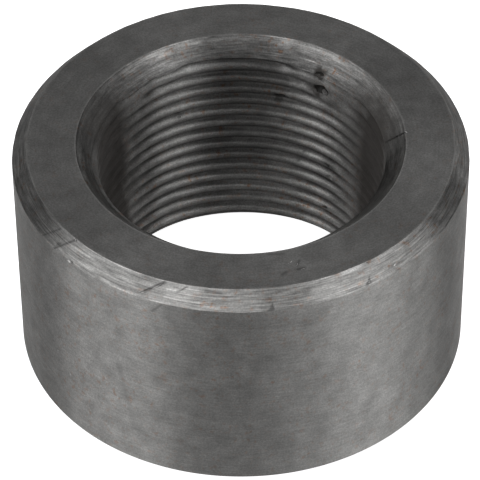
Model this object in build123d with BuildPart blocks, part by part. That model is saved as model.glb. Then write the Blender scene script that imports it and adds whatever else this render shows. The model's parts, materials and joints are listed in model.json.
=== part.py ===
from build123d import *
import math
import os

# A weld-in bung for an exhaust oxygen sensor: one ring turned from steel bar, with a thread cut right
# through its bore. It stands on its foot, the end that is welded over the hole in the pipe. The origin
# is the centre of the foot and the bore runs up the Z axis. Lengths are in millimetres and angles in
# degrees.

# The ring
height = 16.2
wall = 4.89  # from the roots of the thread to the outside

# The outer edge of the top face is cut back further down the wall than across the face
top_chamfer_width = 0.97
top_chamfer_height = 1.07

# The outer edge of the foot only has its burr taken off
foot_edge_break = 0.1

# The metric fine thread in the bore, single-start and right-handed. Its groove is cut with a pointed
# tool, so it has no flat at its root and reaches a little deeper than the nominal diameter
thread_diameter = 20.0
thread_pitch = 1.0
thread_angle = 60.0  # between the two flanks of the groove
crest_flat_pitches = 1 / 4  # flat left on the ridge, at the drilled bore
nominal_width_pitches = 1 / 8  # width of the groove at the nominal diameter
thread_start_angle = 143.0  # where the groove crosses the plane of the foot, round from +X

# The countersinks, each a little wider than the roots of the thread, so that they lead the sensor in
countersink_angle = 90.0  # across the whole cone
top_countersink_margin = 0.68  # from the roots of the thread out to the mouth
foot_countersink_margin = 0.43

# How far the cutting tools stand clear of the metal inside the drilled bore
tool_clearance = 0.1

# The groove's path is drawn in lengths of a few turns, so that no face of the thread gets very long
whole_turns_per_length = 3

flank_slope = math.tan(math.radians(thread_angle / 2))
groove_width = (1 - crest_flat_pitches) * thread_pitch
thread_depth = groove_width / 2 / flank_slope
root_radius = thread_diameter / 2 + nominal_width_pitches * thread_pitch / 2 / flank_slope
bore_radius = root_radius - thread_depth
outer_radius = root_radius + wall

# The tool starts one turn below the ring and stops one turn or more above it
tool_bottom = -thread_pitch
path_rise = whole_turns_per_length * thread_pitch
path_count = math.ceil((height - 2 * tool_bottom) / path_rise)
tool_top = tool_bottom + path_count * path_rise

# The drilled stock is one turn longer than the tool's way at each end
stock_bottom = tool_bottom - thread_pitch
stock_height = tool_top + thread_pitch - stock_bottom

# The countersinks and the thread's tool reach in to this radius, where the drill has left no metal
clear_radius = bore_radius - tool_clearance
cone_slope = 1 / math.tan(math.radians(countersink_angle / 2))
top_mouth_radius = root_radius + top_countersink_margin
foot_mouth_radius = root_radius + foot_countersink_margin
top_cone_depth = (top_mouth_radius - clear_radius) * cone_slope
foot_cone_depth = (foot_mouth_radius - clear_radius) * cone_slope

os.makedirs("parts", exist_ok=True)

with BuildPart() as weld_bung:
    # Drilled stock, wider and longer than the ring, so that each turn of the thread in it is whole
    with BuildSketch(Plane.XY.offset(stock_bottom)):
        Circle(outer_radius + wall)
        Circle(bore_radius, mode=Mode.SUBTRACT)
    extrude(amount=stock_height)

    # The groove of the thread, a triangle that climbs a helix of the bore's radius
    tool_start = Plane.XY.offset(tool_bottom).rotated((0, 0, thread_start_angle))
    with BuildLine(tool_start):
        for length in range(path_count):
            Helix(
                pitch=thread_pitch,
                height=path_rise,
                radius=bore_radius,
                center=(0, 0, length * path_rise),
            )
    half_tool = groove_width / 2 + tool_clearance * flank_slope
    with BuildSketch(Plane(tool_start.origin, x_dir=tool_start.x_dir, z_dir=-tool_start.y_dir)):
        with BuildLine():
            Polyline(
                (clear_radius, -half_tool),
                (root_radius, 0),
                (clear_radius, half_tool),
                close=True,
            )
        make_face()
    sweep(is_frenet=True, mode=Mode.SUBTRACT)

    # The finished section is turned last: foot, outer wall, chamfer, top face and both countersinks
    with BuildSketch(Plane.XZ):
        with BuildLine():
            Polyline(
                (clear_radius, foot_cone_depth),
                (foot_mouth_radius, 0),
                (outer_radius - foot_edge_break, 0),
                (outer_radius, foot_edge_break),
                (outer_radius, height - top_chamfer_height),
                (outer_radius - top_chamfer_width, height),
                (top_mouth_radius, height),
                (clear_radius, height - top_cone_depth),
                close=True,
            )
        make_face()
    revolve(axis=Axis.Z, mode=Mode.INTERSECT)

weld_bung.part.label = "weld_bung"
export_step(weld_bung.part, "parts/weld_bung.step")
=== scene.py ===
import bmesh
import bpy
import json
import math
import random
from mathutils import Matrix, Vector, noise


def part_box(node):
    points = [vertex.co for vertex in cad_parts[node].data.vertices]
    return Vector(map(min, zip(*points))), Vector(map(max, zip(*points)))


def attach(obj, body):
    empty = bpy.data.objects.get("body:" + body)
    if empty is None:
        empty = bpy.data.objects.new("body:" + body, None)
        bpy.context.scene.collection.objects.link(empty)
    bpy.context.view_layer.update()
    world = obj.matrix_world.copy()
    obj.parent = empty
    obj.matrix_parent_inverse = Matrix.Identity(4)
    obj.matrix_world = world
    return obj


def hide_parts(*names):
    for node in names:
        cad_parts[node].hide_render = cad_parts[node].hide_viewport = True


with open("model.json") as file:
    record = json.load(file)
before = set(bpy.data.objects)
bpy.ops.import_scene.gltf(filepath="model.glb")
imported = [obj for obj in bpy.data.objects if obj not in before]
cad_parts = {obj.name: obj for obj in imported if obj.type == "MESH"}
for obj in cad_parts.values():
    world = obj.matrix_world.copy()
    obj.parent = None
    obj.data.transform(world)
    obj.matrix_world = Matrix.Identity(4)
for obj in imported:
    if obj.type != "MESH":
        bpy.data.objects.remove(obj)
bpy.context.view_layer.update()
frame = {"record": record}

# THE BUNG
# A ring turned from a steel bar, drilled, countersunk at both ends and threaded right through for the
# sensor. It is one piece, bare metal, and stands on the foot that is welded to the pipe.

mm = 0.001
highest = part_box("weld_bung")[1]
outer_radius = highest.x
height = highest.z

top_chamfer_width = 0.97 * mm
top_chamfer_height = 1.07 * mm
top_rim_radius = outer_radius - top_chamfer_width
foot_edge_break = 0.1 * mm

# The hole is drilled a little narrower than the ridges of the thread, so that the tap cuts all of its
# wall. Both countersinks go down to it at 45 degrees
thread_mount = next(m for m in frame["record"]["mounts"] if m["name"] == "sensor_thread")
crest_radius = thread_mount["dims"]["r_mm"] * mm
tap_allowance = 0.5 * mm
pilot_radius = crest_radius - tap_allowance
top_mouth_radius = 10.788 * mm
foot_mouth_radius = 10.538 * mm
top_cone_end = height - (top_mouth_radius - pilot_radius)
foot_cone_end = foot_mouth_radius - pilot_radius

# Both edges of the top chamfer are rubbed down, in short and in long stretches
top_rim_wear = 0.035 * mm
wall_rim_wear = 0.025 * mm
short_wear = 0.9 * mm
long_wear = 3.5 * mm

ring_segments = 360
merge_distance = 0.001 * mm
tolerance = 0.01 * mm

lathe = random.Random(11)


def cut(start, end, feed, depth):
    """One straight cut of the ring's section, with the shallow furrows of the tool's feed."""
    steps = max(1, round(math.dist(start, end) / feed))
    run = Vector(end) - Vector(start)
    inwards = Vector((-run.y, run.x)).normalized()
    points = [Vector(start)]
    for step in range(1, steps):
        points.append(Vector(start) + run * step / steps + inwards * lathe.uniform(0, depth))
    return points


def worn(point, amount):
    """A point of an edge, rubbed down by an amount that changes round the ring."""
    unevenness = 0.5 + noise.noise(point / short_wear) + 0.6 * noise.noise(point / long_wear)
    share = amount * max(0, unevenness) / math.hypot(point.x, point.y)
    return Vector((point.x * (1 - share), point.y * (1 - share), point.z))


def turned_ring():
    """The ring before the thread is cut: its section spun round the axis of the bore."""
    foot_bore = (pilot_radius, foot_cone_end)
    foot_mouth = (foot_mouth_radius, 0)
    foot_rim = (outer_radius - foot_edge_break, 0)
    wall_foot = (outer_radius, foot_edge_break)
    wall_top = (outer_radius, height - top_chamfer_height)
    top_rim = (top_rim_radius, height)
    top_mouth = (top_mouth_radius, height)
    top_bore = (pilot_radius, top_cone_end)
    section = (
        cut(foot_bore, foot_mouth, feed=0.4 * mm, depth=0.003 * mm)
        + cut(foot_mouth, foot_rim, feed=0.5 * mm, depth=0.002 * mm)
        + cut(foot_rim, wall_foot, feed=foot_edge_break, depth=0)
        + cut(wall_foot, wall_top, feed=0.42 * mm, depth=0.0015 * mm)
        + cut(wall_top, top_rim, feed=0.12 * mm, depth=0.006 * mm)
        + cut(top_rim, top_mouth, feed=0.22 * mm, depth=0.0012 * mm)
        + cut(top_mouth, top_bore, feed=0.12 * mm, depth=0.012 * mm)
        + [Vector(top_bore)]
    )
    ring = bmesh.new()
    corners = [ring.verts.new((p.x, 0, p.y)) for p in section]
    edges = [ring.edges.new(pair) for pair in zip(corners, corners[1:] + corners[:1])]
    bmesh.ops.spin(ring, geom=corners + edges, axis=(0, 0, 1), cent=(0, 0, 0), angle=math.tau,
                   steps=ring_segments, use_merge=True)
    bmesh.ops.remove_doubles(ring, verts=ring.verts, dist=merge_distance)
    bmesh.ops.recalc_face_normals(ring, faces=ring.faces)
    for v in ring.verts:
        radius = math.hypot(v.co.x, v.co.y)
        if v.co.z > height - tolerance and abs(radius - top_rim_radius) < tolerance:
            v.co = worn(v.co, top_rim_wear)
        elif abs(v.co.z - wall_top[1]) < tolerance and radius > outer_radius - tolerance:
            v.co = worn(v.co, wall_rim_wear)
    return ring


# The thread: ridges a pitch apart with a rounded top, and grooves with a rounded bottom. The tap passes
# through both ends of the ring
thread_pitch = 1.0 * mm
thread_start = math.radians(143.0)
flank_tilt = math.radians(60)
crest_half_width = 0.17 * mm
crest_rounding = 0.25 * mm
crest_steps = 4
root_rounding = 0.2 * mm
root_steps = 3
thread_segments = 144
turns_below = 2.5
tap_overrun = 0.7 * mm

# The cut is torn all over, in fine and in broad patches
tear_depth = 0.012 * mm
fine_tear = 0.35 * mm
broad_tear = 1.3 * mm


def spot(azimuth, radius, level):
    """A point of the ring, from its azimuth in degrees and its radius and height in millimetres."""
    a = math.radians(azimuth)
    return Vector((radius * math.cos(a), radius * math.sin(a), level)) * mm


# Where the ridges are rubbed down: a middle, a size and how much of their height is gone
rubbed_places = (
    (spot(47, 9.5, 14.3), 3.6 * mm, 0.95),
    (spot(64, 9.5, 14.9), 1.6 * mm, 0.8),
    (spot(138, 9.5, 14.6), 2.6 * mm, 0.9),
    (spot(122, 9.5, 15.2), 2.0 * mm, 0.7),
    (spot(160, 9.5, 11.0), 6.6 * mm, 0.75),
    (spot(160, 9.5, 5.5), 6.6 * mm, 0.75),
    (spot(21, 9.5, 11.0), 6.2 * mm, 0.75),
    (spot(23, 9.5, 5.5), 6.2 * mm, 0.75),
)


def tap_section():
    """One pitch of the tap's edge, as radius and height: round a crest, then round the next root."""
    corner = crest_half_width - crest_rounding * math.tan(flank_tilt / 2)
    section = []
    for side, steps in ((-1, range(crest_steps, -1, -1)), (1, range(crest_steps + 1))):
        for step in steps:
            tilt = flank_tilt * step / crest_steps
            section.append((crest_radius + crest_rounding * (1 - math.cos(tilt)),
                            side * (corner + crest_rounding * math.sin(tilt))))
    thread_depth = (thread_pitch / 2 - crest_half_width) * math.tan(flank_tilt)
    root_radius = crest_radius + thread_depth - root_rounding
    for step in range(-root_steps, root_steps + 1):
        tilt = flank_tilt * step / root_steps
        section.append((root_radius - root_rounding * (1 - math.cos(tilt)),
                        thread_pitch / 2 + root_rounding * math.sin(tilt)))
    section.append((section[0][0], section[0][1] + thread_pitch))
    return section


def torn(point):
    """A point of the thread, where its ridge is rubbed down and its steel is torn."""
    radius = math.hypot(point.x, point.y)
    gone = 0
    for middle, size, amount in rubbed_places:
        near = min(1, max(0, 1.4 * (1 - (point - middle).length / size)))
        gone = max(gone, amount * near * near * (3 - 2 * near))
    unevenness = noise.noise(point / fine_tear) + noise.noise(point / broad_tear)
    tear = tear_depth * (1 + 1.5 * gone) * unevenness
    share = (radius - (radius - crest_radius) * gone + tear) / radius
    return Vector((point.x * share, point.y * share, point.z))


def tap():
    """The metal that the tap takes out: one pitch of its edge, wound up a helix and closed at both ends."""
    form = bmesh.new()
    corners = [form.verts.new((r, 0, z)) for r, z in tap_section()]
    edges = [form.edges.new(pair) for pair in zip(corners, corners[1:])]
    bmesh.ops.spin(form, geom=corners + edges, axis=(0, 0, 1), cent=(0, 0, 0),
                   dvec=(0, 0, thread_pitch / thread_segments), angle=math.tau,
                   steps=thread_segments, use_merge=False)
    turns = 1
    while turns * thread_pitch < height + 2 * turns_below * thread_pitch:
        again = bmesh.ops.duplicate(form, geom=form.verts[:] + form.edges[:] + form.faces[:])["geom"]
        copied = [g for g in again if isinstance(g, bmesh.types.BMVert)]
        bmesh.ops.translate(form, verts=copied, vec=(0, 0, turns * thread_pitch))
        turns *= 2
    start = Matrix.Rotation(thread_start, 3, "Z")
    bmesh.ops.rotate(form, verts=form.verts, cent=(0, 0, 0), matrix=start)
    bmesh.ops.translate(form, verts=form.verts, vec=(0, 0, -turns_below * thread_pitch))
    bmesh.ops.remove_doubles(form, verts=form.verts, dist=2 * merge_distance)
    for level, way in ((-tap_overrun, -1), (height + tap_overrun, 1)):
        bmesh.ops.bisect_plane(form, geom=form.verts[:] + form.edges[:] + form.faces[:],
                               plane_co=(0, 0, level), plane_no=(0, 0, way), clear_outer=True)
    bmesh.ops.holes_fill(form, edges=[e for e in form.edges if e.is_boundary], sides=0)
    bmesh.ops.recalc_face_normals(form, faces=form.faces)
    for v in form.verts:
        v.co = torn(v.co)
    return form


# The marks of its life: pits in the bore, where the steel is torn, and dents and scratches outside. A
# mark lies on a face that leans back from upright by an angle in degrees
in_bore, on_mouth, on_top, on_chamfer, on_wall = 180, 115, 90, 42.2, 0

# Pits, from the countersink down: azimuth, place behind the ridges, height, length, width, depth, turn
pits = (
    (54.8, 0.10, 13.85, 1.15, 0.8, 0.55, 8),
    (53.0, 0.05, 13.70, 0.5, 0.4, 0.3, -20),
    (56.2, 0.05, 14.98, 0.7, 0.4, 0.35, 5),
    (73.0, 0.10, 12.14, 1.0, 0.45, 0.35, 0),
    (115.9, 0.05, 10.75, 0.45, 0.3, 0.14, 10),
    (61.5, 0.05, 8.05, 0.9, 0.25, 0.2, -6),
    (57.0, 0.05, 7.75, 0.5, 0.25, 0.1, 12),
    (51.5, 0.05, 7.25, 0.5, 0.3, 0.2, 4),
    (49.5, 0.05, 6.24, 0.7, 0.3, 0.16, -10),
    (52.0, 0.05, 3.30, 0.5, 0.25, 0.18, 15),
    (62.0, 0.05, 2.90, 0.35, 0.2, 0.14, -15),
)
# Dents and scratches of the chamfer: azimuth, place in from the wall, height, length, width, depth, turn
chamfer_dents = (
    (221.8, 0.94, 16.17, 0.3, 0.2, 0.07, 0),
    (223.4, 0.05, 15.16, 0.5, 0.35, 0.045, 0),
    (245.6, 0.33, 15.49, 0.8, 0.14, 0.04, 40),
    (248.5, 0.70, 15.90, 1.0, 0.16, 0.04, 40),
    (255.0, 0.75, 15.97, 0.7, 0.10, 0.03, 40),
    (262.5, 0.82, 16.05, 0.9, 0.12, 0.03, 15),
    (302.6, 0.15, 15.30, 0.3, 0.16, 0.045, 10),
    (304.4, 0.93, 16.16, 0.3, 0.2, 0.08, 0),
    (311.0, 0.30, 15.45, 0.35, 0.14, 0.05, 20),
)
# Small knocks in the top face, in front on the right: azimuth, radius, length, width, depth, turn
top_knocks = (
    (284.9, 12.00, 0.35, 0.07, 0.02, 30),
    (286.4, 12.35, 0.40, 0.06, 0.02, 60),
    (287.6, 12.80, 0.30, 0.10, 0.03, 15),
)
wall_dings = 14


def mark(marks, azimuth, radius, level, lean, length, width, depth, turn):
    """A rough lump, as long as the mark it leaves, set half into the metal."""
    lump = bmesh.ops.create_icosphere(marks, subdivisions=3, radius=0.5)["verts"]
    for v in lump:
        v.co *= 1 + 0.35 * noise.noise(v.co * 3 + Vector((azimuth, level / mm, radius / mm)))
    bmesh.ops.scale(marks, verts=lump, vec=Vector((length, width, 2 * depth)) * mm)
    bmesh.ops.rotate(marks, verts=lump, cent=(0, 0, 0), matrix=Matrix.Rotation(math.radians(turn), 3, "Z"))
    a, b = math.radians(azimuth), math.radians(lean)
    outwards = Vector((math.cos(a) * math.cos(b), math.sin(a) * math.cos(b), math.sin(b)))
    across = Vector((-math.sin(a), math.cos(a), 0))
    face = Matrix((across, outwards.cross(across), outwards)).transposed()
    bmesh.ops.rotate(marks, verts=lump, cent=(0, 0, 0), matrix=face)
    place = Vector((radius * math.cos(a), radius * math.sin(a), level))
    bmesh.ops.translate(marks, verts=lump, vec=place)


def wear_marks():
    """All the marks, as lumps to be taken out of the ring."""
    marks = bmesh.new()
    for azimuth, behind, level, *size_and_turn in pits:
        mark(marks, azimuth, crest_radius + behind * mm, level * mm, in_bore, *size_and_turn)
    # One knock on the rim of the countersink
    mark(marks, 3.4, top_mouth_radius, height, on_mouth, 0.22, 0.5, 0.1, 0)
    for azimuth, inside, level, *size_and_turn in chamfer_dents:
        mark(marks, azimuth, outer_radius - inside * mm, level * mm, on_chamfer, *size_and_turn)
    for azimuth, radius, *size_and_turn in top_knocks:
        mark(marks, azimuth, radius * mm, height, on_top, *size_and_turn)
    for ding in range(wall_dings):
        mark(marks, lathe.uniform(0, 360), outer_radius, lathe.uniform(1, 14) * mm, on_wall,
             lathe.uniform(0.1, 0.3), lathe.uniform(0.06, 0.12), 0.025, lathe.uniform(-40, 40))
    return marks


def as_object(form, name):
    """A finished form, set down in the scene under its name."""
    mesh = bpy.data.meshes.new(name)
    form.to_mesh(mesh)
    form.free()
    thing = bpy.data.objects.new(name, mesh)
    bpy.context.scene.collection.objects.link(thing)
    return thing


# The tap and the marks are cut out of the ring, and then put away
bung = as_object(turned_ring(), "threaded_ring")
tools = [as_object(tap(), "tap"), as_object(wear_marks(), "wear_marks")]
for tool in tools:
    removal = bung.modifiers.new(tool.name, "BOOLEAN")
    removal.operation = "DIFFERENCE"
    removal.solver = "MANIFOLD"
    removal.object = tool
threaded = bpy.data.meshes.new_from_object(bung.evaluated_get(bpy.context.evaluated_depsgraph_get()))
bung.modifiers.clear()
bung.data = threaded
for tool in tools:
    bpy.data.objects.remove(tool)

# Each turned face has a finish of its own, so the faces are told apart by where they lie
outer_wall, chamfer, top_face, countersink, thread, foot = range(6)
slack = 0.05 * mm
cone_slack = 0.03 * mm
sharp_edge = math.radians(32)
finish_mesh = bmesh.new()
finish_mesh.from_mesh(bung.data)
for f in finish_mesh.faces:
    f.smooth = True
    middle = f.calc_center_median()
    radius = math.hypot(middle.x, middle.y)
    if middle.z > height - slack and top_mouth_radius < radius < top_rim_radius:
        f.material_index = top_face
    elif middle.z < slack:
        f.material_index = foot
    elif radius > top_rim_radius - slack:
        f.material_index = chamfer if middle.z > height - top_chamfer_height else outer_wall
    elif radius - pilot_radius > middle.z - top_cone_end + cone_slack:
        f.material_index = thread
    else:
        f.material_index = countersink
for e in finish_mesh.edges:
    e.smooth = e.calc_face_angle(0) < sharp_edge
bung.data.materials.clear()
finish_mesh.to_mesh(bung.data)
finish_mesh.free()


# The bare steel is uneven in its grain, in soft clouds and in small specks of rust that lie in patches
grain_size = 0.11 * mm
speck_size = 0.34 * mm
cloud_size = 1.1 * mm
patch_size = 2.4 * mm
relief_height = 0.004 * mm

# How far the edges of stains and of bands wander
stain_waviness = 2 * mm
band_raggedness = 0.25 * mm

# The ridges of the thread get a painted highlight down to the first radius, and from there the grooves get
# painted shade that darkens them towards the bottom
ridge_foot = crest_radius + 0.1 * mm
groove_bottom = crest_radius + 0.4 * mm

# Painted shade: a dark matt sheet laid over the steel where the bore lies in shade, and in its biggest pits
painted_shade_colour = (0.04, 0.036, 0.033)
painted_shade_roughness = 0.75


def set_inputs(tree, sockets, values):
    """Set a node's inputs in turn, each to a value or to another node's output."""
    for socket, value in zip(sockets, values):
        if isinstance(value, bpy.types.NodeSocket):
            tree.links.new(value, socket)
        else:
            socket.default_value = value


def calc(tree, operation, *values):
    """One sum with values or with other nodes' outputs."""
    node = tree.nodes.new("ShaderNodeMath")
    node.operation = operation
    set_inputs(tree, node.inputs, values)
    return node.outputs[0]


def product(tree, first, *others):
    """Factors multiplied together."""
    for other in others:
        first = calc(tree, "MULTIPLY", first, other)
    return first


def vector_calc(tree, operation, *values):
    """One sum with places or directions."""
    node = tree.nodes.new("ShaderNodeVectorMath")
    node.operation = operation
    set_inputs(tree, node.inputs, values)
    return node.outputs["Value" if operation in ("LENGTH", "DISTANCE", "DOT_PRODUCT") else "Vector"]


def fade(tree, value, low, high, at_low, at_high):
    """A value's way from low to high, as an even change between two other values."""
    node = tree.nodes.new("ShaderNodeMapRange")
    set_inputs(tree, node.inputs, (value, low, high, at_low, at_high))
    return node.outputs[0]


def mixed(tree, share, first, second):
    """One colour that turns into another as the share goes from 0 to 1."""
    node = tree.nodes.new("ShaderNodeMix")
    node.data_type = "RGBA"
    set_inputs(tree, (node.inputs["Factor"], node.inputs[6], node.inputs[7]), (share, first, second))
    return node.outputs[2]


def blotches(tree, place, size, detail):
    """Soft random patches of about this size, from 0 to 1."""
    node = tree.nodes.new("ShaderNodeTexNoise")
    tree.links.new(place, node.inputs["Vector"])
    node.inputs["Scale"].default_value = 1 / size
    node.inputs["Detail"].default_value = detail
    return node.outputs[0]


def swing(tree, patches, amount):
    """Random patches as a factor that goes this far below and above 1."""
    return fade(tree, patches, 0.25, 0.75, 1 - amount, 1 + amount)


def tool_marks(tree, round_way, along, to_a_radian, width, detail):
    """Random streaks round the axis, so many to a radian and of about this width."""
    length_way = vector_calc(tree, "MULTIPLY", round_way, (to_a_radian, to_a_radian, 0))
    upright = vector_calc(tree, "MULTIPLY", (0, 0, 1), along)
    width_way = vector_calc(tree, "MULTIPLY", upright, (0, 0, 1 / width))
    return blotches(tree, vector_calc(tree, "ADD", length_way, width_way), 1.0, detail)


def tool_steps_and_highlights(tree, along, ragged, tool_and_highlight_bands):
    """How bright the steel is painted in each band, with a ragged border between them: steps left by the
    tool, and painted highlights and shade.
    """
    first, last = tool_and_highlight_bands[0][0] * mm, tool_and_highlight_bands[-1][0] * mm
    unevenness = product(tree, calc(tree, "SUBTRACT", ragged, 0.5), band_raggedness)
    ramp = tree.nodes.new("ShaderNodeValToRGB")
    tree.links.new(fade(tree, calc(tree, "ADD", along, unevenness), first, last, 0.0, 1.0), ramp.inputs[0])
    stops = ramp.color_ramp.elements
    while len(stops) < len(tool_and_highlight_bands):
        stops.new(0.5)
    # The ramp holds half of each brightness, so that none of them is past white
    for stop, (place_mm, brightness) in zip(stops, tool_and_highlight_bands):
        stop.position = (place_mm * mm - first) / (last - first)
        stop.color = (brightness / 2, brightness / 2, brightness / 2, 1)
    return product(tree, ramp.outputs[0], 2.0)


def ridge_highlight_and_groove_shade(tree, radius, groove_shade):
    """A painted highlight that makes the ridges a little brighter, and painted shade that darkens the
    grooves at the bottom.
    """
    ridge = fade(tree, radius, crest_radius, ridge_foot, 1.3, 0.9)
    groove = fade(tree, radius, ridge_foot, groove_bottom, 1.0, groove_shade)
    return product(tree, ridge, groove)


def off_line(tree, place, start, end):
    """How far a place is from a straight line between two points."""
    run = end - start
    from_start = vector_calc(tree, "SUBTRACT", place, start)
    share = calc(tree, "DIVIDE", vector_calc(tree, "DOT_PRODUCT", from_start, run), run.length_squared)
    on_line = vector_calc(tree, "MULTIPLY", fade(tree, share, 0.0, 1.0, 0.0, 1.0), run)
    return vector_calc(tree, "LENGTH", vector_calc(tree, "SUBTRACT", from_start, on_line))


def stain_smear_and_shade_darkness(tree, place, wavy, grain, stains_and_shade, smears):
    """How much of the steel's light the stains, the patches of painted shade and the smears take away, from
    0 to 1.
    """
    dark = 0.0
    for middle, size, darkness in stains_and_shade:
        reach = vector_calc(tree, "DISTANCE", wavy, middle)
        dark = calc(tree, "MAXIMUM", dark, fade(tree, reach, 0.45 * size, size, darkness, 0.0))
    for start, end, width, darkness in smears:
        reach = off_line(tree, place, start, end)
        smear = product(tree, fade(tree, reach, 0.2 * width, width, darkness, 0.0), swing(tree, grain, 0.5))
        dark = calc(tree, "MAXIMUM", dark, smear)
    return dark


def rust_specks(tree, place, rust):
    """Specks of rust, thicker in some places than in others."""
    specks = fade(tree, blotches(tree, place, speck_size, detail=3.0), 0.56, 0.7, 0.0, 1.0)
    thicker = fade(tree, blotches(tree, place, patch_size, detail=2.0), 0.4, 0.65, 0.0, rust)
    return product(tree, specks, thicker)


def painted_shade_cover(tree, wavy, painted_shade):
    """How much of the steel is under the painted shade, from 0 to 1."""
    black = 0.0
    for start, end, width in painted_shade:
        reach = off_line(tree, wavy, start, end)
        black = calc(tree, "MAXIMUM", black, fade(tree, reach, 0.35 * width, width, 1.0, 0.0))
    return black


def turned_steel(name, shade, roughness, anisotropy, rise, furrow, streaks, mottle, speckle, rust,
                 stains_and_shade=(), smears=(), tool_and_highlight_bands=(), painted_shade=(), groove_shade=1.0):
    """Bare steel with fine turning marks round the axis, which spread its gloss across them.

    The rise is the face's own direction along the section, as its share of radius and of height, and
    the furrow is the width of one turning mark. Streaks, mottle and speckle say how uneven the steel is
    along its turning marks, in clouds and in its grain. A stain or a patch of painted shade has a middle,
    a size and a darkness, and a smear has two ends, a width and a darkness. Bands are places along the
    section, in millimetres, with how bright the steel is painted there: steps left by the tool, and
    painted highlights and shade. A sheet of painted shade has two ends and a width and hides the gloss of
    the steel. The groove shade is painted shade at the bottom of the thread's grooves, under a painted
    highlight on its ridges.
    """
    steel = bpy.data.materials.new(name)
    steel.use_nodes = True
    tree = steel.node_tree
    shader = tree.nodes["Principled BSDF"]
    place = tree.nodes.new("ShaderNodeTexCoord").outputs["Object"]
    flat = vector_calc(tree, "MULTIPLY", place, (1, 1, 0))
    radius = vector_calc(tree, "LENGTH", flat)
    level = vector_calc(tree, "DOT_PRODUCT", place, (0, 0, 1))
    round_way = vector_calc(tree, "NORMALIZE", flat)
    along = calc(tree, "ADD", product(tree, radius, rise[0]), product(tree, level, rise[1]))

    # Long fine marks of the tool, and the shorter ragged stretches in which they catch the light
    marks = tool_marks(tree, round_way, along, to_a_radian=5, width=furrow, detail=3.0)
    ragged = tool_marks(tree, round_way, along, to_a_radian=13, width=2 * furrow, detail=4.0)
    cloud = blotches(tree, place, cloud_size, detail=4.0)
    grain = blotches(tree, place, grain_size, detail=2.0)
    light = product(tree, swing(tree, marks, streaks), swing(tree, ragged, streaks),
                    swing(tree, cloud, mottle), swing(tree, grain, speckle))
    # Bands along the section: steps left by the tool, and painted highlights and shade
    if tool_and_highlight_bands:
        light = product(tree, light, tool_steps_and_highlights(tree, along, ragged, tool_and_highlight_bands))
    # The thread's ridges get a painted highlight and its grooves painted shade
    if groove_shade < 1:
        light = product(tree, light, ridge_highlight_and_groove_shade(tree, radius, groove_shade))

    # Stains and painted shade lie at places that the clouds shift a little, so that their edges are uneven
    shift = product(tree, calc(tree, "SUBTRACT", cloud, 0.5), stain_waviness)
    wavy = vector_calc(tree, "ADD", place, shift)
    undarkened = calc(tree, "SUBTRACT", 1.0, stain_smear_and_shade_darkness(tree, place, wavy, grain, stains_and_shade, smears))
    light = product(tree, light, undarkened)

    bare = (1.01 * shade, shade, 0.98 * shade, 1)
    rusty = (0.95 * shade, 0.62 * shade, 0.45 * shade, 1)
    colour = vector_calc(tree, "MULTIPLY", mixed(tree, rust_specks(tree, place, rust), bare, rusty), light)
    gloss = product(tree, roughness, swing(tree, cloud, 0.08))
    shader.inputs["Metallic"].default_value = 1.0
    # Painted shade: a dark matt sheet that hides the gloss of the steel
    if painted_shade:
        black = painted_shade_cover(tree, wavy, painted_shade)
        shade_unevenness = product(tree, swing(tree, grain, 0.25), swing(tree, cloud, 0.2))
        colour = mixed(tree, black, colour, vector_calc(tree, "MULTIPLY", painted_shade_colour, shade_unevenness))
        gloss = fade(tree, black, 0.0, 1.0, gloss, painted_shade_roughness)
        tree.links.new(calc(tree, "SUBTRACT", 1.0, black), shader.inputs["Metallic"])
    tree.links.new(colour, shader.inputs["Base Color"])
    tree.links.new(gloss, shader.inputs["Roughness"])

    # The gloss is drawn out across the turning marks, and the marks and the grain stand out a little
    shader.inputs["Anisotropic"].default_value = anisotropy
    shader.inputs["Anisotropic Rotation"].default_value = 0.25
    round_axis = tree.nodes.new("ShaderNodeTangent")
    round_axis.direction_type = "RADIAL"
    round_axis.axis = "Z"
    tree.links.new(round_axis.outputs["Tangent"], shader.inputs["Tangent"])
    relief = tree.nodes.new("ShaderNodeBump")
    relief.inputs["Distance"].default_value = relief_height
    rough = calc(tree, "ADD", product(tree, marks, streaks * 2), product(tree, grain, speckle * 4))
    tree.links.new(rough, relief.inputs["Height"])
    tree.links.new(relief.outputs["Normal"], shader.inputs["Normal"])
    return steel


# The marks of each face. The smears lie where the real ring has them. The larger dark patches are painted
# shade on the sides of the bore and of the chamfer and at the back of the bore, and the small ones darken
# the steel in spots, most of them at pits and dents. The sheets are painted shade on the bore's sides and
# in its biggest pits
bore_shade_and_pit_darkening = (
    (spot(8, 9.6, 12.5), 6.5 * mm, 0.3),
    (spot(172, 9.6, 11.5), 6.5 * mm, 0.3),
    (spot(85, 9.6, 13.1), 4.7 * mm, 0.54),
    (spot(87, 10.5, 15.9), 2.4 * mm, 0.4),
    (spot(163, 10.4, 15.8), 4.6 * mm, 0.66),
    (spot(4, 10.4, 15.8), 3.0 * mm, 0.4),
    (spot(87, 9.6, 8.0), 4.4 * mm, 0.46),
    (spot(73.8, 9.7, 11.9), 0.7 * mm, 0.7),
    (spot(115.9, 9.8, 10.7), 0.4 * mm, 0.4),
    (spot(51.0, 9.6, 7.3), 0.9 * mm, 0.35),
)
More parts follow.
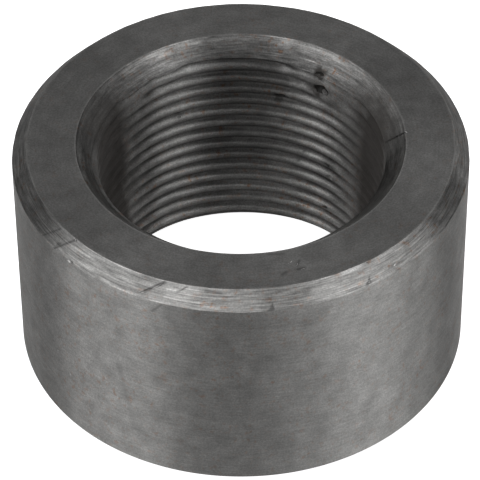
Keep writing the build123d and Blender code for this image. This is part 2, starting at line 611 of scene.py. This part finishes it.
bore_smears = (
    (spot(62.4, 9.6, 14.2), spot(74.2, 9.6, 11.8), 0.3 * mm, 0.45),
    (spot(74.2, 9.6, 11.8), spot(92.3, 9.6, 8.1), 0.7 * mm, 0.5),
    (spot(66.0, 9.6, 14.6), spot(80.0, 9.6, 12.6), 0.2 * mm, 0.4),
    (spot(63.0, 9.6, 8.0), spot(52.0, 9.6, 7.9), 0.25 * mm, 0.6),
    (spot(62.0, 9.6, 7.9), spot(66.0, 9.6, 6.3), 0.18 * mm, 0.5),
    (spot(3.4, 10.8, 16.2), spot(6.1, 9.62, 15.0), 0.2 * mm, 0.85),
    (spot(161.1, 9.6, 13.8), spot(144.6, 9.6, 12.4), 0.25 * mm, 0.6),
    (spot(153.8, 9.6, 5.8), spot(145.3, 9.6, 5.2), 0.25 * mm, 0.6),
    (spot(84.0, 10.6, 16.0), spot(96.0, 10.0, 15.4), 0.25 * mm, 0.35),
)
# Painted shade on the bore's sides, which lie in shade, and in its two biggest pits: two ends and a width
bore_painted_shade = (
    (spot(160, 9.6, 12.6), spot(157, 9.6, 3.0), 4.8 * mm),
    (spot(19, 9.6, 13.2), spot(21, 9.6, 3.0), 4.6 * mm),
    (spot(56.3, 9.9, 13.9), spot(51.6, 9.9, 13.6), 1.1 * mm),
    (spot(57.2, 9.8, 15.05), spot(55.4, 9.8, 15.0), 0.5 * mm),
)
# The chamfer's large patches are painted shade on its sides; the small ones darken it in spots, most of
# them at dents
chamfer_shade_and_dent_darkening = (
    (spot(199, 14.5, 15.7), 4.3 * mm, 0.46),
    (spot(178, 14.5, 15.7), 4.5 * mm, 0.3),
    (spot(335, 14.5, 15.7), 3.8 * mm, 0.32),
    (spot(195, 14.3, 15.9), 0.9 * mm, 0.45),
    (spot(218.0, 14.9, 15.2), 0.4 * mm, 0.45),
    (spot(302.6, 14.85, 15.3), 0.28 * mm, 0.45),
    (spot(304.4, 14.06, 16.15), 0.3 * mm, 0.6),
    (spot(277.8, 14.8, 15.3), 0.3 * mm, 0.5),
    (spot(223.4, 14.95, 15.2), 0.35 * mm, 0.45),
)
chamfer_smears = (
    (spot(245.6, 14.67, 15.49), spot(250.1, 14.1, 16.14), 0.16 * mm, 0.5),
    (spot(253.7, 14.39, 15.81), spot(256.0, 14.1, 16.12), 0.12 * mm, 0.3),
    (spot(260.9, 14.15, 16.1), spot(264.8, 14.2, 16.0), 0.14 * mm, 0.3),
    (spot(217.1, 14.98, 15.1), spot(221.8, 14.06, 16.17), 0.13 * mm, 0.5),
    (spot(211.6, 14.98, 15.1), spot(215.5, 14.16, 16.05), 0.13 * mm, 0.4),
)
wall_smears = (
    (spot(247.9, 15.0, 14.25), spot(250.3, 15.0, 14.99), 0.12 * mm, 0.3),
    (spot(238.0, 15.0, 8.5), spot(242.0, 15.0, 3.0), 0.3 * mm, 0.1),
)
top_smears = (
    (spot(281.4, 12.95, 16.2), spot(282.6, 12.80, 16.2), 0.16 * mm, 0.35),
    (spot(286.2, 12.75, 16.2), spot(288.0, 12.75, 16.2), 0.18 * mm, 0.45),
    (spot(286.5, 12.35, 16.2), spot(287.6, 12.0, 16.2), 0.12 * mm, 0.35),
    (spot(279.0, 11.0, 16.2), spot(283.5, 11.15, 16.2), 0.16 * mm, 0.2),
)

# Along the countersink, where radius and height both grow, painted shade darkens it where it goes down into
# the bore, and a painted highlight brightens it near the mouth and on the mouth's edge; half way the tool
# left a step. The top face and the chamfer have painted highlights at their edges
cone_steps_and_highlights = (
    (17.4, 0.55), (17.7, 0.8), (18.05, 0.95), (18.2, 0.8), (18.5, 1.0), (18.75, 1.35), (18.9, 1.4),
    (19.0, 1.05), (19.06, 1.4),
)
top_edge_highlights = ((10.8, 1.5), (10.9, 1.0), (13.9, 1.0), (14.0, 1.35))
chamfer_edge_highlights = ((-1.5, 1.2), (-1.35, 1.0), (-0.2, 1.1), (-0.1, 1.2), (0, 1.05))

# In the order of the faces' numbers, with the outer wall first. Their shades differ more than the steel
# does: each is set so that its face comes out as bright as it should under these lamps, which paints light
# and shade into the faces
finishes = (
    turned_steel("turned outer wall", shade=0.60, roughness=0.436, anisotropy=0.91, rise=(0, 1),
                 furrow=0.09 * mm, streaks=0.08, mottle=0.12, speckle=0.2, rust=0.6, smears=wall_smears),
    turned_steel("turned chamfer", shade=0.46, roughness=0.346, anisotropy=0.62, rise=(0.7, -0.7),
                 furrow=0.07 * mm, streaks=0.4, mottle=0.06, speckle=0.2, rust=1.0,
                 stains_and_shade=chamfer_shade_and_dent_darkening, smears=chamfer_smears, tool_and_highlight_bands=chamfer_edge_highlights),
    turned_steel("faced top", shade=0.30, roughness=0.356, anisotropy=0.67, rise=(1, 0),
                 furrow=0.1 * mm, streaks=0.06, mottle=0.05, speckle=0.2, rust=0.3,
                 smears=top_smears, tool_and_highlight_bands=top_edge_highlights),
    turned_steel("turned countersink", shade=0.30, roughness=0.313, anisotropy=0.37, rise=(0.7071, 0.7071),
                 furrow=0.08 * mm, streaks=0.35, mottle=0.12, speckle=0.25, rust=1.2,
                 stains_and_shade=bore_shade_and_pit_darkening, smears=bore_smears, tool_and_highlight_bands=cone_steps_and_highlights, painted_shade=bore_painted_shade),
    turned_steel("tapped thread", shade=0.30, roughness=0.46, anisotropy=0.864, rise=(0, 1),
                 furrow=0.1 * mm, streaks=0.12, mottle=0.2, speckle=0.3, rust=1.2,
                 stains_and_shade=bore_shade_and_pit_darkening, smears=bore_smears, painted_shade=bore_painted_shade, groove_shade=0.9),
    turned_steel("faced foot", shade=0.30, roughness=0.40, anisotropy=0.67, rise=(1, 0),
                 furrow=0.1 * mm, streaks=0.1, mottle=0.15, speckle=0.15, rust=0.3),
)
for finish in finishes:
    bung.data.materials.append(finish)

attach(bung, "root")
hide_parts("weld_bung")

# THE FLOOR
# A white sheet of plastic that the ring stands on. It is lit from underneath, so it stays white and
# shows no shadow, and the steel doesn't mirror it.

floor_half_width = 1.5

floor_form = bmesh.new()
bmesh.ops.create_grid(floor_form, x_segments=1, y_segments=1, size=floor_half_width)
floor = as_object(floor_form, "floor")
white = bpy.data.materials.new("white floor")
white.use_nodes = True
plastic = white.node_tree.nodes["Principled BSDF"]
plastic.inputs["Base Color"].default_value = (0.85, 0.85, 0.85, 1)
plastic.inputs["Roughness"].default_value = 0.9
plastic.inputs["Emission Color"].default_value = (1, 1, 1, 1)
plastic.inputs["Emission Strength"].default_value = 1.0
floor.data.materials.append(white)
floor.visible_glossy = False

# THE LIGHT
# Softboxes stand all round the ring, each facing it, so that every side of the bare steel mirrors one of
# them. The brightest stand overhead and behind, and a dim white room fills in between them.

softbox_distance = 0.8
room_brightness = 0.123


def softbox(name, azimuth, elevation, half_width, half_height, radiance):
    """A soft light on a stand. Its place and half its size are angles in degrees, seen from the ring."""
    width = 2 * softbox_distance * math.tan(math.radians(half_width) * math.cos(math.radians(elevation)))
    depth = 2 * softbox_distance * math.tan(math.radians(half_height))
    lamp = bpy.data.lights.new(name, "AREA")
    lamp.shape = "RECTANGLE"
    lamp.size = width
    lamp.size_y = depth
    lamp.energy = radiance * math.pi * width * depth
    stand = bpy.data.objects.new(name, lamp)
    bpy.context.scene.collection.objects.link(stand)
    a, e = math.radians(azimuth), math.radians(elevation)
    away = Vector((math.cos(a) * math.cos(e), math.sin(a) * math.cos(e), math.sin(e)))
    stand.location = away * softbox_distance
    stand.rotation_mode = "QUATERNION"
    stand.rotation_quaternion = away.to_track_quat("Z", "Y")


# Azimuth, elevation, half width, half height and how bright
softbox("overhead softbox", 356, 73, 34, 18, 3.45)
softbox("overhead strip on the left", 174, 66, 21, 4, 13.5)
softbox("high left softbox", 200, 55, 10, 10, 2.0)
softbox("high right softbox", 340, 55, 10, 10, 1.75)
softbox("high back softbox", 60, 50, 12, 8, 0.35)
softbox("back right softbox", 51, 35, 4, 7, 9.8)
softbox("back left softbox", 134, 37, 4, 6, 9.5)
softbox("left softbox", 180, 45, 10, 10, 0.95)
softbox("front left softbox", 240, 38, 6, 8, 2.6)
softbox("front softbox", 266, 40, 14, 8, 0.95)
softbox("front right softbox", 316, 40, 11, 8, 0.88)
softbox("front strip", 252, 23, 23, 4, 0.65)
softbox("low far left softbox", 209, 5, 25, 22, 0.7)
softbox("low left softbox", 230, 12, 10, 8, 0.75)
softbox("low front right softbox", 295, 12, 10, 8, 0.4)
softbox("low right softbox", 313, 8, 32, 18, 0.44)
softbox("low far right softbox", 338, 4, 28, 10, 1.35)
softbox("right softbox", 330, 20, 10, 8, 0.2)

room = bpy.data.worlds.new("room")
room.use_nodes = True
room.node_tree.nodes["Background"].inputs["Color"].default_value = (1, 1, 1, 1)
room.node_tree.nodes["Background"].inputs["Strength"].default_value = room_brightness
bpy.context.scene.world = room
bpy.context.scene.view_settings.view_transform = "Standard"

# THE CAMERA
# It stands in front of the ring with a long lens, looks down into the bore and is tilted very slightly
# to one side.

lens = 255.55
sensor_width = 36
camera_distance = 233.82 * mm
camera_elevation = 0.77794
camera_tilt = -0.00787
aim = Vector((-0.0926 * mm, 0, 7.228 * mm))

camera = bpy.data.cameras.new("camera")
camera.sensor_width = sensor_width
camera.lens = lens
camera.clip_start = 10 * mm
eye = bpy.data.objects.new("camera", camera)
bpy.context.scene.collection.objects.link(eye)
eye.location = (0, -camera_distance * math.cos(camera_elevation),
                camera_distance * math.sin(camera_elevation))
eye.rotation_mode = "QUATERNION"
towards_aim = (aim - eye.location).to_track_quat("-Z", "Y")
eye.rotation_quaternion = towards_aim @ Matrix.Rotation(camera_tilt, 3, "Z").to_quaternion()
bpy.context.scene.camera = eye
